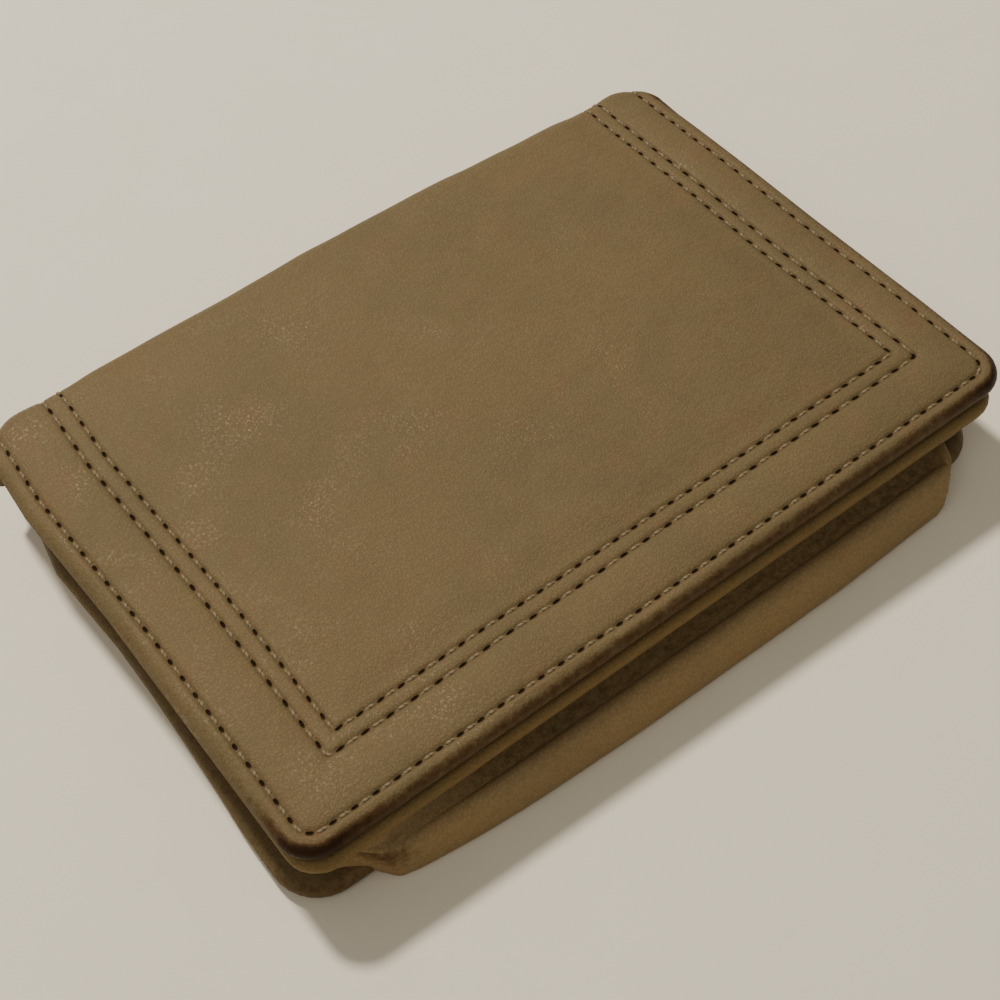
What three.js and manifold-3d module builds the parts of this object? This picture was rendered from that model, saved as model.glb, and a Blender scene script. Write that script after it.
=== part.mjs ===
// Flap coin purse in stitched leather, lying closed on its back.
// Millimetres, +X along the spine, +Y towards the spine, +Z up. The origin is on the
// resting plane, under the middle of the closed purse.
import * as THREE from 'three';
import { mergeVertices } from 'three/addons/utils/BufferGeometryUtils.js';
import Module from 'manifold-3d';

// Driving dimensions
const WIDTH = 108; // along the spine
const DEPTH = 80; // spine to the foremost point of the gusset
const HEIGHT = 16; // closed and empty
const GUSSET_BULGE = 4; // how far the bottom gusset rolls out past the panels
const CORNER_RADIUS = 4.5; // the free corners of every panel
const COVER = 1.6; // back, spine and flap leather
const WALL_LEATHER = 1.2; // front wall leather
const BOARD = 0.8; // stiffener in the back
const FLAP_BOARD = 1.1; // stiffener in the flap
const WALL_BOARD = 0.7; // stiffener in the front wall
const LINING = 0.6; // lining of every panel
const THREAD_WIDTH = 0.7;
const THREAD_HEIGHT = 0.2; // how far a seam stands above the leather
const CLEARANCE = 0.3; // between neighbours that are not glued face to face
const SLIDE_GAP = 0.2; // between the flap and the front wall
const SEAM_INSET = 2.5; // edge seam to panel edge
const BOARD_INSET = 1; // stiffener edge to panel edge
const MOUTH_SETBACK = 7.4; // front wall's free edge to the inside of the spine
const SNAP_X = 2; // centre of the snap fastener
const SNAP_Y = -16;
const FRAME_OUTER = { left: -44, right: 46, front: 9.3 }; // outer seam; front: inset from the edge
const FRAME_INNER = { left: -41.6, right: 44, front: 11.6 };

// Places that follow from them
const SIDE = WIDTH / 2;
const SPINE_OUT = DEPTH / 2;
const SPINE_IN = SPINE_OUT - COVER;
const EDGE = GUSSET_BULGE - DEPTH / 2;
const BACK_BOARD_Z = COVER;
const BACK_LINING_Z = BACK_BOARD_Z + BOARD;
const BACK_TOP = BACK_LINING_Z + LINING;
const FLAP_TOP = HEIGHT - THREAD_HEIGHT;
const FLAP_LEATHER_Z = FLAP_TOP - COVER;
const FLAP_BOARD_Z = FLAP_LEATHER_Z - FLAP_BOARD;
const FLAP_LINING_Z = FLAP_BOARD_Z - LINING;
const WALL_TOP = FLAP_LINING_Z - SLIDE_GAP - THREAD_HEIGHT;
const WALL_LEATHER_Z = WALL_TOP - WALL_LEATHER;
const WALL_BOARD_Z = WALL_LEATHER_Z - WALL_BOARD;
const WALL_LINING_Z = WALL_BOARD_Z - LINING;
const WALL_END = SPINE_IN - MOUTH_SETBACK;
const BOARD_RADIUS = CORNER_RADIUS - BOARD_INSET;
const SEAM_X = SIDE - SEAM_INSET;
const SEAM_Y = EDGE + SEAM_INSET;

const wasm = await Module();
wasm.setup();

const purse = new THREE.Group();

function material(color, roughness, metalness = 0) {
  return new THREE.MeshStandardMaterial({ color, roughness, metalness });
}

const FINISH = {
  cover: () => material(0x7a6345, 0.55),
  wall: () => material(0x6e5c40, 0.6),
  gusset: () => material(0x7a5f40, 0.6),
  lining: () => material(0x5d4a35, 0.8),
  board: () => material(0x8b7c66, 0.9),
  thread: () => material(0x94805c, 0.7),
  snap: () => material(0x9a8556, 0.35, 1),
};

function add(name, geometry, finish, x = 0, y = 0, z = 0) {
  const mesh = new THREE.Mesh(geometry, finish());
  mesh.name = name;
  mesh.position.set(x, y, z);
  purse.add(mesh);
  return mesh;
}

function extrude(shape, depth) {
  return new THREE.ExtrudeGeometry(shape, { depth, bevelEnabled: false, curveSegments: 6 });
}

// A panel that is square at its far end, with two rounded corners at the free edge.
function panelShape(half, free, end, radius) {
  const shape = new THREE.Shape();
  shape.moveTo(half, end);
  shape.lineTo(-half, end);
  shape.lineTo(-half, free + radius);
  shape.absarc(-half + radius, free + radius, radius, Math.PI, 1.5 * Math.PI);
  shape.absarc(half - radius, free + radius, radius, 1.5 * Math.PI, 2 * Math.PI);
  shape.closePath();
  return shape;
}

function punch(shape, x, y, radius) {
  const hole = new THREE.Path();
  hole.absarc(x, y, radius, 0, 2 * Math.PI, true);
  shape.holes.push(hole);
  return shape;
}

// A seam laid out as a U: down the left side, along the front and up the right side.
function seamShape(left, right, front, end, radius, width) {
  const half = width / 2;
  const outer = radius + half;
  const inner = radius - half;
  const shape = new THREE.Shape();
  shape.moveTo(left - half, end);
  shape.lineTo(left - half, front + radius);
  shape.absarc(left + radius, front + radius, outer, Math.PI, 1.5 * Math.PI);
  shape.absarc(right - radius, front + radius, outer, 1.5 * Math.PI, 2 * Math.PI);
  shape.lineTo(right + half, end);
  shape.lineTo(right - half, end);
  shape.absarc(right - radius, front + radius, inner, 2 * Math.PI, 1.5 * Math.PI, true);
  shape.absarc(left + radius, front + radius, inner, 1.5 * Math.PI, Math.PI, true);
  shape.lineTo(left + half, end);
  shape.closePath();
  return shape;
}

function rectangle(x0, y0, x1, y1) {
  const shape = new THREE.Shape();
  shape.moveTo(x0, y0);
  shape.lineTo(x1, y0);
  shape.lineTo(x1, y1);
  shape.lineTo(x0, y1);
  shape.closePath();
  return shape;
}

// A profile drawn in Y and Z, extruded along X from x0 to x1.
function alongX(shape, x0, x1) {
  const geometry = extrude(shape, x1 - x0);
  geometry.rotateY(Math.PI / 2);
  geometry.rotateX(Math.PI / 2);
  geometry.translate(x0, 0, 0);
  return geometry;
}

// A profile drawn in X and Z, extruded along Y from y0 to y1.
function alongY(shape, y0, y1) {
  const geometry = extrude(shape, y1 - y0);
  geometry.rotateX(Math.PI / 2);
  geometry.translate(0, y1, 0);
  return geometry;
}

// A turned part from its outline of radius and height, closed on the axis.
function turned(points) {
  const outline = points.map(([radius, height]) => new THREE.Vector2(radius, height));
  const geometry = new THREE.LatheGeometry(outline, 32);
  geometry.rotateX(Math.PI / 2);
  return geometry;
}

function toSolid(geometry) {
  const bare = geometry.clone();
  bare.deleteAttribute('normal');
  bare.deleteAttribute('uv');
  const merged = mergeVertices(bare, 1e-4);
  return new wasm.Manifold(
    new wasm.Mesh({
      numProp: 3,
      vertProperties: new Float32Array(merged.attributes.position.array),
      triVerts: new Uint32Array(merged.index.array),
    }),
  );
}

function toGeometry(solid) {
  const mesh = solid.getMesh();
  const geometry = new THREE.BufferGeometry();
  geometry.setAttribute('position', new THREE.BufferAttribute(mesh.vertProperties, 3));
  geometry.setIndex(new THREE.BufferAttribute(mesh.triVerts, 1));
  geometry.computeVertexNormals();
  return geometry;
}

// Back panel: the part of the cover that lies on the table, its stiffener and its lining.
// The seam that holds the gusset lies in a groove on the underside.
const BACK_SEAM_DEPTH = 0.4;

function backPanel() {
  const leather = toSolid(extrude(panelShape(SIDE, EDGE, SPINE_IN, CORNER_RADIUS), COVER));
  const groove = seamShape(
    -SEAM_X, SEAM_X, SEAM_Y, SPINE_IN - 1, 2, THREAD_WIDTH + 2 * CLEARANCE,
  );
  const cutter = extrude(groove, 2 * BACK_SEAM_DEPTH);
  cutter.translate(0, 0, -BACK_SEAM_DEPTH);
  add('back_leather', toGeometry(leather.subtract(toSolid(cutter))), FINISH.cover);

  const seam = seamShape(-SEAM_X, SEAM_X, SEAM_Y, SPINE_IN - 2, 2, THREAD_WIDTH);
  const seamZ = BACK_SEAM_DEPTH - THREAD_HEIGHT;
  add('back_seam_thread', extrude(seam, THREAD_HEIGHT), FINISH.thread, 0, 0, seamZ);

  const board = panelShape(SIDE - BOARD_INSET, EDGE + BOARD_INSET, SPINE_IN - 2, BOARD_RADIUS);
  add('back_board', extrude(board, BOARD), FINISH.board, 0, 0, BACK_BOARD_Z);
  const lining = panelShape(SIDE, EDGE, SPINE_IN - CLEARANCE, CORNER_RADIUS);
  add('back_lining', extrude(lining, LINING), FINISH.lining, 0, 0, BACK_LINING_Z);
}

// The cover turns round the spine in two folds, with a flat strip between them.
function quarterRound(centreZ, from) {
  const shape = new THREE.Shape();
  shape.moveTo(SPINE_IN, centreZ);
  shape.absarc(SPINE_IN, centreZ, COVER, from, from + Math.PI / 2);
  shape.closePath();
  return alongX(shape, -SIDE, SIDE);
}

function spine() {
  add('lower_fold_leather', quarterRound(COVER, -Math.PI / 2), FINISH.cover);
  add('upper_fold_leather', quarterRound(FLAP_LEATHER_Z, 0), FINISH.cover);
  const strip = rectangle(SPINE_IN, COVER, SPINE_OUT, FLAP_LEATHER_Z);
  add('spine_leather', alongX(strip, -SIDE, SIDE), FINISH.cover);
  const lining = rectangle(SPINE_IN - LINING, BACK_TOP, SPINE_IN, FLAP_LINING_Z);
  add('spine_lining', alongX(lining, -SIDE + 2, SIDE - 2), FINISH.lining);
}

// Flap: leather, a stiffener with room for the snap's cap, a lining, and three rows of seam.
const CAP_RADIUS = 6.2;
const CAP_HEIGHT = 0.6;
const SOCKET_RADIUS = 4.9;
const SOCKET_FLANGE = 5.9;

function flap() {
  const leather = panelShape(SIDE, EDGE, SPINE_IN, CORNER_RADIUS);
  add('flap_leather', extrude(leather, COVER), FINISH.cover, 0, 0, FLAP_LEATHER_Z);

  const board = panelShape(SIDE - BOARD_INSET, EDGE + BOARD_INSET, SPINE_IN - 2, BOARD_RADIUS);
  punch(board, SNAP_X, SNAP_Y, CAP_RADIUS + CLEARANCE);
  add('flap_board', extrude(board, FLAP_BOARD), FINISH.board, 0, 0, FLAP_BOARD_Z);

  const lining = panelShape(SIDE, EDGE, SPINE_IN - CLEARANCE, CORNER_RADIUS);
  punch(lining, SNAP_X, SNAP_Y, SOCKET_RADIUS + CLEARANCE);
  add('flap_lining', extrude(lining, LINING), FINISH.lining, 0, 0, FLAP_LINING_Z);

  const seams = {
    flap_edge_thread: [-SEAM_X, SEAM_X, SEAM_Y, 2],
    frame_outer_thread: [FRAME_OUTER.left, FRAME_OUTER.right, EDGE + FRAME_OUTER.front, 1],
    frame_inner_thread: [FRAME_INNER.left, FRAME_INNER.right, EDGE + FRAME_INNER.front, 1],
  };
  for (const [name, [left, right, front, radius]] of Object.entries(seams)) {
    const seam = seamShape(left, right, front, SPINE_IN - 1, radius, THREAD_WIDTH);
    add(name, extrude(seam, THREAD_HEIGHT), FINISH.thread, 0, 0, FLAP_TOP);
  }
}

// Front wall of the pouch, under the flap; its far edge is the mouth.
const POST_HOLE = 1.6;
const WALL_HALF = SIDE - 0.5;

function wallSheet(inset) {
  const radius = CORNER_RADIUS - inset;
  const shape = panelShape(WALL_HALF - inset, EDGE + inset, WALL_END - inset, radius);
  return punch(shape, SNAP_X, SNAP_Y, POST_HOLE);
}

function frontWall() {
  const leather = extrude(wallSheet(0), WALL_LEATHER);
  add('front_wall_leather', leather, FINISH.wall, 0, 0, WALL_LEATHER_Z);
  const board = extrude(wallSheet(BOARD_INSET), WALL_BOARD);
  add('front_wall_board', board, FINISH.board, 0, 0, WALL_BOARD_Z);
  const lining = extrude(wallSheet(0), LINING);
  add('front_wall_lining', lining, FINISH.lining, 0, 0, WALL_LINING_Z);

  const seam = seamShape(-SEAM_X, SEAM_X, SEAM_Y, WALL_END - 3, 2, THREAD_WIDTH);
  add('front_wall_thread', extrude(seam, THREAD_HEIGHT), FINISH.thread, 0, 0, WALL_TOP);
  const hem = rectangle(
    -SEAM_X + 2, WALL_END - 2 - THREAD_WIDTH, SEAM_X - 2, WALL_END - 2,
  );
  add('mouth_hem_thread', extrude(hem, THREAD_HEIGHT), FINISH.thread, 0, 0, WALL_TOP);
}

// Snap fastener: cap and socket in the flap, stud and post in the front wall.
const STUD_RADIUS = 2;
const STUD_FLANGE = 4.4;
const SOCKET_BORE = 2.4;
const POST_RADIUS = 1.3;
const PLATE_RADIUS = 4.8;
const SNAP_FLOOR = WALL_TOP + 0.25; // underside of the socket
const SNAP_ROOF = FLAP_LEATHER_Z - CAP_HEIGHT; // top of the socket, where the cap sits

function snap() {
  const cap = [
    [0, 0],
    [CAP_RADIUS, 0],
    [CAP_RADIUS, 0.7 * CAP_HEIGHT],
    [0.85 * CAP_RADIUS, CAP_HEIGHT],
    [0, CAP_HEIGHT],
  ];
  add('snap_cap', turned(cap), FINISH.snap, SNAP_X, SNAP_Y, SNAP_ROOF);

  const height = SNAP_ROOF - SNAP_FLOOR;
  const flange = FLAP_BOARD_Z - SNAP_FLOOR;
  const socket = [
    [SOCKET_BORE, 0],
    [SOCKET_RADIUS - 0.3, 0],
    [SOCKET_RADIUS, 0.3],
    [SOCKET_RADIUS, flange],
    [SOCKET_FLANGE, flange],
    [SOCKET_FLANGE, height],
    [0, height],
    [0, height - 0.2],
    [SOCKET_BORE, height - 0.2],
    [SOCKET_BORE, 0],
  ];
  add('snap_socket', turned(socket), FINISH.snap, SNAP_X, SNAP_Y, SNAP_FLOOR);

  const stud = [
    [0, 0],
    [STUD_FLANGE, 0],
    [STUD_FLANGE, 0.1],
    [STUD_RADIUS + 0.4, 0.2],
    [STUD_RADIUS - 0.3, 0.5],
    [STUD_RADIUS, 0.8],
    [STUD_RADIUS - 0.4, 1.1],
    [0, 1.1],
  ];
  add('snap_stud', turned(stud), FINISH.snap, SNAP_X, SNAP_Y, WALL_TOP);

  const plate = 0.3;
  const post = [
    [0, 0],
    [PLATE_RADIUS, 0],
    [PLATE_RADIUS, plate],
    [POST_RADIUS, plate],
    [POST_RADIUS, plate + WALL_TOP - WALL_LINING_Z],
    [0, plate + WALL_TOP - WALL_LINING_Z],
  ];
  add('snap_post', turned(post), FINISH.snap, SNAP_X, SNAP_Y, WALL_LINING_Z - plate);
}

// Gusset: a roll of soft leather along the bottom, and a leaf folded inwards at each side.
const ROLL_CENTRE = { y: EDGE + 1, z: 5 };
const ROLL_RADII = { y: GUSSET_BULGE + 1, z: 4.5 };
const GUSSET_LEATHER = 1.2;
const ROLL_LEFT = -46;
const ROLL_RIGHT = 44;
const LEAF_DEPTH = 10;
const LEAF_LEATHER = 0.9;

function gusset() {
  const from = THREE.MathUtils.degToRad(110);
  const to = THREE.MathUtils.degToRad(250);
  const { y, z } = ROLL_CENTRE;
  const roll = new THREE.Shape();
  roll.absellipse(y, z, ROLL_RADII.y, ROLL_RADII.z, from, to, false);
  roll.absellipse(
    y, z, ROLL_RADII.y - GUSSET_LEATHER, ROLL_RADII.z - GUSSET_LEATHER, to, from, true,
  );
  roll.closePath();
  add('gusset_bottom', alongX(roll, ROLL_LEFT, ROLL_RIGHT), FINISH.gusset);

  const low = BACK_TOP + CLEARANCE;
  const high = WALL_LINING_Z - CLEARANCE;
  const middle = (low + high) / 2;
  for (const [name, side] of [['gusset_left', -1], ['gusset_right', 1]]) {
    const edge = side * (SIDE - 2.5);
    const fold = edge - side * LEAF_DEPTH;
    const leaf = new THREE.Shape();
    leaf.moveTo(edge, high);
    leaf.lineTo(edge, high - LEAF_LEATHER);
    leaf.lineTo(fold + side * 1.6, middle);
    leaf.lineTo(edge, low + LEAF_LEATHER);
    leaf.lineTo(edge, low);
    leaf.lineTo(fold, middle - LEAF_LEATHER / 2);
    leaf.lineTo(fold, middle + LEAF_LEATHER / 2);
    leaf.closePath();
    add(name, alongY(leaf, EDGE + 4, WALL_END), FINISH.gusset);
  }
}

backPanel();
spine();
flap();
frontWall();
snap();
gusset();

export default purse;
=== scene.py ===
import math

import bmesh
import bpy
import numpy as np
from mathutils import Matrix, Vector


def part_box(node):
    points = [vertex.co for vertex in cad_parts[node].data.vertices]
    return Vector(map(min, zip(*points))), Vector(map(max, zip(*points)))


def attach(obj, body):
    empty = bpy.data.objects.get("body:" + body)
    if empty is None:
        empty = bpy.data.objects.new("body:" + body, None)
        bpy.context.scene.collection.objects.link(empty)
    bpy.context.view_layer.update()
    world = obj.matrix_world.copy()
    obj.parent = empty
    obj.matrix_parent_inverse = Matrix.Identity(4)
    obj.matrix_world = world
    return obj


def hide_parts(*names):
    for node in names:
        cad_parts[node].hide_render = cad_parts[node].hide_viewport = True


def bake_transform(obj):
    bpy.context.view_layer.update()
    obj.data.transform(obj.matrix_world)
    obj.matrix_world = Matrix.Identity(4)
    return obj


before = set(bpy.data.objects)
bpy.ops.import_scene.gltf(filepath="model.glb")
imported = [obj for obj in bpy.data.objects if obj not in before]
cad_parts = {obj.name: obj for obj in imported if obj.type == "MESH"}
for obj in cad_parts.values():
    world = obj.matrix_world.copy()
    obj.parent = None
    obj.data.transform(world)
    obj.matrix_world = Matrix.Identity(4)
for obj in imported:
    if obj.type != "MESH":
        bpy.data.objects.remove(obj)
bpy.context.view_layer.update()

# --- Back and lower half of the spine -------------------------------------------------
# One skin of full-grain cowhide, 1.6 mm thick, turned in over a stiffener so that its
# edge is a soft roll. It lies on the table and bends up into the spine. The seam that
# holds the gusset runs 2.5 mm inside its edge.

MM = 0.001


def span(node):
    """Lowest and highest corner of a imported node, in millimetres."""
    low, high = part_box(node)
    return np.array(low) / MM, np.array(high) / MM


SIDE = span("flap_leather")[1][0]
EDGE = span("flap_leather")[0][1]
SPINE = span("spine_leather")[1][1]
HEIGHT = span("frame_outer_thread")[1][2]
SAG = 2.0  # how much lower the left end of the closed purse lies
FOLD = 3.0  # outer radius of the cover where it turns at the spine
SKIN = 1.7  # thickness of the cover on the spine
ROUND = 6.0  # radius, seen from above, that the ends of the spine have worn to
ASKEW = ([-54, -28, -7, 8, 15, 23, 31, 39, 48, 54],
         [1.3, 1.2, 0.8, 0.5, 0.2, -0.5, -1.0, -1.4, -1.8, -1.8])  # the fold runs off square
LEVEL = HEIGHT - 0.15  # upper face of the flap, under its thread
MIDDLE = LEVEL / 2
CUT_END = SPINE - FOLD + FOLD * math.pi / 2 + LEVEL - FOLD - MIDDLE
BACK_BEND = {"a": "back", "b": "spine", "start": (0, 0.0356, 0.0002),
             "end": (0.000126, 0.04, 0.0046)}  # it turns a little, as the fold does


def settle(points):
    """The empty pouch lies flatter at its left end, so every height shrinks towards it."""
    points = np.array(points, float)
    share = SAG / HEIGHT * (SIDE - points[:, 0]) / (2 * SIDE)
    points[:, 2] *= 1 - share
    return points


def waves(points, size, seed):
    """Soft unevenness about 1 high and `size` long, from a few seeded waves."""
    draw = np.random.default_rng(seed)
    total = np.zeros(len(points))
    for _ in range(16):
        heading = draw.normal(size=points.shape[1])
        heading /= np.linalg.norm(heading)
        length = size * draw.uniform(0.7, 1.7)
        total += np.sin(points @ heading * (2 * math.pi / length) + draw.uniform(0, 7))
    return total / 4


def ease(value, start, end):
    t = np.clip((value - start) / (end - start), 0, 1)
    return t * t * (3 - 2 * t)


def around_spine(x, along, depth, underside=False):
    """From the flat cut to its place: level, then round the fold, then down the spine."""
    turn = SPINE - FOLD
    angle = np.clip((along - turn) / FOLD, 0, math.pi / 2)
    past = np.maximum(along - turn - FOLD * math.pi / 2, 0)
    y = np.minimum(along, turn) + (FOLD - depth) * np.sin(angle)
    z = LEVEL - FOLD + (FOLD - depth) * np.cos(angle) - past
    end = np.clip(np.abs(x) - SIDE + ROUND, 0, ROUND - 0.7)
    tuck = ROUND - np.sqrt(ROUND ** 2 - end ** 2)
    y = y + (np.interp(x, *ASKEW) - tuck) * ease(along, SPINE - 20, SPINE - 1)
    return settle(np.stack([x, y, LEVEL - z if underside else z], axis=1))


def u_line(x0, x1, y0, y1, radius, legs, turn, front):
    """A U in the plane: down the left, round, along the front, round, and up the right."""
    down = np.linspace(y1, y0 + radius, legs + 1)
    arc = np.linspace(math.pi, 1.5 * math.pi, turn + 1)[1:-1]
    across = np.linspace(x0 + radius, x1 - radius, front + 1)
    left = np.stack([np.full(legs + 1, x0), down], axis=1)
    near = np.stack([x0 + radius * (1 + np.cos(arc)), y0 + radius * (1 + np.sin(arc))], axis=1)
    middle = np.stack([across, np.full(front + 1, y0)], axis=1)
    far = near[::-1] * [-1, 1] + [x0 + x1, 0]
    right = np.stack([np.full(legs + 1, x1), down[::-1]], axis=1)
    return np.concatenate([left, near, middle, far, right])


def distances(line):
    """How far along a line each of its points is."""
    steps = np.linalg.norm(np.diff(line, axis=0), axis=1)
    return np.concatenate([[0], np.cumsum(steps)])


def rolled_edge(thick, top_radius, steps=7):
    """(inset, depth) round a panel's edge, from its face to its underside."""
    low_radius = thick - top_radius
    over = np.linspace(0, math.pi / 2, steps)
    face = [(top_radius * (1 - math.sin(a)), top_radius * (1 - math.cos(a))) for a in over]
    under = [(low_radius * (1 - math.sin(a)), thick - low_radius * (1 - math.cos(a)))
             for a in over[::-1][1:]]
    return face + under


def piece(name, points, faces, **facts):
    """A mesh object from millimetres, with facts kept on its points for the material."""
    mesh = bpy.data.meshes.new(name)
    mesh.from_pydata((np.asarray(points) * MM).tolist(), [], [list(map(int, f)) for f in faces])
    for fact, values in facts.items():
        values = np.asarray(values, np.float32)
        kind, key = ("FLOAT_VECTOR", "vector") if values.ndim == 2 else ("FLOAT", "value")
        mesh.attributes.new(fact, kind, "POINT").data.foreach_set(key, values.ravel())
    shape = bmesh.new()
    shape.from_mesh(mesh)
    bmesh.ops.recalc_face_normals(shape, faces=shape.faces)
    shape.to_mesh(mesh)
    shape.free()
    mesh.shade_smooth()
    mesh.set_sharp_from_angle(angle=math.radians(55))
    made = bpy.data.objects.new(name, mesh)
    bpy.context.scene.collection.objects.link(made)
    return made


def strips(first, count, width, closed=False):
    """Quads between neighbouring rows of a grid whose points start at `first`."""
    row, col = np.meshgrid(np.arange(count - 1), np.arange(width if closed else width - 1))
    a = first + row * width + col
    b = first + row * width + (col + 1) % width
    return np.stack([a, b, b + width, a + width], axis=-1).reshape(-1, 4).tolist()


def seam_facts(inset, depth, rows, count):
    """For each point, how many stitches along a seam it is and how far beside it."""
    facts = np.full((len(inset), 3), 9.0)
    for row_inset, stitches in rows:
        beside = np.abs(inset - row_inset)
        near = (beside < 0.9) & (depth < 0.1)
        facts[near, 0] = np.tile(stitches, count)[near]
        facts[near, 1] = beside[near]
    return facts


class Cover:
    """Half of a layer that is cut across the spine, with a rolled edge on three sides.

    `insets` gives the left, right and front inset of each line at a distance from the
    edge, so that each seam row is one line of the mesh. `base` is how deep below the
    outer face the layer starts; a lining shows its inner side instead. `creep` gives
    (y, left, right): how far the two side edges have moved along X.
    """

    def __init__(self, insets, bounds, radii, legs, front, rings, inner, thick, underside,
                 base=0.0, creep=((0, 0, 0),)):
        self.insets, self.bounds, self.radii = insets, bounds, radii
        self.counts = (legs, 8, front)
        self.thick, self.base, self.underside, self.creep = thick, base, underside, creep
        top = [(f, 0.0) for f in rings] + rolled_edge(thick, 0.58 * thick)
        self.rings = top + inner

    def line(self, inset):
        """One line of the flat cut, `inset` from the edge."""
        knots = [k[0] for k in self.insets]
        left, right, near = [np.interp(inset, knots, [k[i] for k in self.insets])
                             for i in (1, 2, 3)]
        x0, x1, y0, y1 = self.bounds
        radius = np.interp(inset, *zip(*self.radii))
        line = u_line(x0 + left, x1 - right, y0 + near, y1, radius, *self.counts)
        across = (line[:, 0] + SIDE) / (2 * SIDE)
        ys, lefts, rights = zip(*self.creep)
        line[:, 0] += np.interp(line[:, 1], ys, lefts) * (1 - across)
        line[:, 0] += np.interp(line[:, 1], ys, rights) * across
        return line

    def place(self, x, along, depth):
        whole = self.base or self.thick
        taper = np.interp(along, [SPINE - 9, SPINE - FOLD], [1, SKIN / whole])
        if self.base:
            depth = self.base * taper + self.thick - depth
        else:
            depth = depth * np.where(depth > 0, taper, 1)
        return around_spine(x, along, depth, self.underside)

    def build(self, name, relief, rows, wear):
        legs, turn, front = self.counts
        flat = np.concatenate([self.line(f) for f, _ in self.rings])
        width = len(flat) // len(self.rings)
        inset = np.repeat([f for f, _ in self.rings], width)
        depth = np.repeat([d for _, d in self.rings], width)
        counts = [(f, distances(self.line(f)) / pitch) for f, pitch in rows]
        seam = seam_facts(inset, depth, counts, len(self.rings))
        # The field inside the innermost line is a plain grid on that line's own points.
        first = self.line(self.rings[0][0])
        ys = first[:legs + 1, 1]
        across = np.linspace(0, 1, front + 1)
        left, right = first[:legs + 1, 0], first[::-1][:legs + 1, 0]
        corner = first[legs + turn, 0] - first[legs, 0]
        left, right = left + corner, right - corner
        xs = left[:, None] + (right - left)[:, None] * across
        field = np.stack([xs, np.repeat(ys[:, None], front + 1, axis=1)], axis=-1).reshape(-1, 2)
        start = len(flat)
        flat = np.concatenate([flat, field])
        inside = self.rings[0][0] + np.minimum.reduce([
            field[:, 0] - np.repeat(left, front + 1), np.repeat(right, front + 1) - field[:, 0],
            field[:, 1] - ys[-1]])
        inset = np.concatenate([inset, inside])
        depth = np.concatenate([depth, np.zeros(len(field))])
        seam = np.concatenate([seam, np.full((len(field), 3), 9.0)])

        raised = relief(flat[:, 0], flat[:, 1], inset, seam)
        raised = raised * ease(inset, 0.2, 1.6) * (depth < 1e-6)
        points = self.place(flat[:, 0], flat[:, 1], depth - raised)

        faces = strips(0, len(self.rings), width)
        columns = front + 1
        faces += strips(start, legs + 1, columns)
        last = start + legs * columns
        near_first, far_first, end = legs + turn, legs + turn + front, width - 1
        for k in range(legs):
            a, b = start + k * columns, start + k * columns + front
            faces.append([k, k + 1, a + columns, a])
            faces.append([b, b + columns, end - k - 1, end - k])
        for m in range(front):
            faces.append([last + m, near_first + m, near_first + m + 1, last + m + 1])
        faces.append([*range(legs, near_first + 1), last])
        faces.append([*range(far_first, far_first + turn + 1), last + front])
        under = (len(self.rings) - 1) * width
        for k in range(legs):
            faces.append([under + k, under + k + 1, under + end - k - 1, under + end - k])
        faces.append([under + k for k in range(legs, width - legs)])
        rim = [i * width for i in range(len(self.rings))]
        faces.append([*rim[::-1], *range(start, start + columns), *[r + end for r in rim]])

        along = flat[:, 1]
        hide = np.stack([flat[:, 0], 2 * CUT_END - along if self.underside else along, depth], 1)
        return piece(name, points, faces, hide=hide, seam=seam, inset=inset,
                     wear=wear(flat[:, 0], along, inset, depth))


SEAM_INSET = 2.5
STITCH = 2.86  # length of one stitch, nine to the inch


def back_relief(x, y, inset, seam):
    groove = 0.2 * np.exp(-((seam[:, 1] / 0.45) ** 2))
    return 0.05 * waves(np.stack([x, y], axis=1), 18, 3) - 0.05 - groove


def back_wear(x, y, inset, depth):
    """Edges rubbed dark on the table, most of all at the two free corners."""
    corner = np.exp(-((SIDE - np.abs(x)) ** 2 + (y - EDGE) ** 2) / 120)
    return ease(inset, 3.0, 0.3) * (0.22 + 0.12 * corner)


CREEP = ((-28, -1.0, -1.5), (-22, -0.9, -1.5), (-16, -0.5, -1.5), (-9, -0.2, -1.4),
         (0, 0.1, -1.2), (9, 0.2, -1.0), (17, -0.2, -0.8), (24, -0.5, -0.8), (31, 0.6, -0.8),
         (40, 0.9, -0.6))
back = Cover(
    insets=[(0, 0, 0, 0), (50, 50, 50, 50)],
    bounds=(-SIDE, SIDE, EDGE + 0.4, CUT_END),
    radii=[(0, 6.4), (2.5, 3.4), (6, 0.6), (50, 0.6)],
    legs=130, front=150,
    rings=[8, 6.5, 5, 4, 3.3, 2.9, 2.7, 2.5, 2.3, 2.1, 1.8, 1.5],
    inner=[(3, 3.5), (4.2, 3.5), (4.2, 2.4), (8, 2.4), (8, 2.15), (1.9, 2.15), (1.9, 1.6),
           (8, 1.6)],
    thick=3.5, underside=True, creep=CREEP,
)
back_cover = back.build("back_cover", back_relief, [(SEAM_INSET, STITCH)], back_wear)


def linear(colour):
    """An sRGB hex colour as the linear one that a shader takes."""
    channels = [int(colour[i:i + 2], 16) / 255 for i in (1, 3, 5)]
    return [c / 12.92 if c <= 0.04045 else ((c + 0.055) / 1.055) ** 2.4 for c in channels] + [1]


def add(tree, kind, inputs, out=0, **settings):
    """Adds a shader node, sets or links its inputs, and gives one of its outputs."""
    made = tree.nodes.new("ShaderNode" + kind)
    for key, value in settings.items():
        setattr(made, key, value)
    for socket, value in inputs.items() if isinstance(inputs, dict) else enumerate(inputs):
        if isinstance(value, bpy.types.NodeSocket):
            tree.links.new(value, made.inputs[socket])
        else:
            made.inputs[socket].default_value = value
    return made.outputs[out]


SOFT = {"interpolation_type": "SMOOTHSTEP"}


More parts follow.
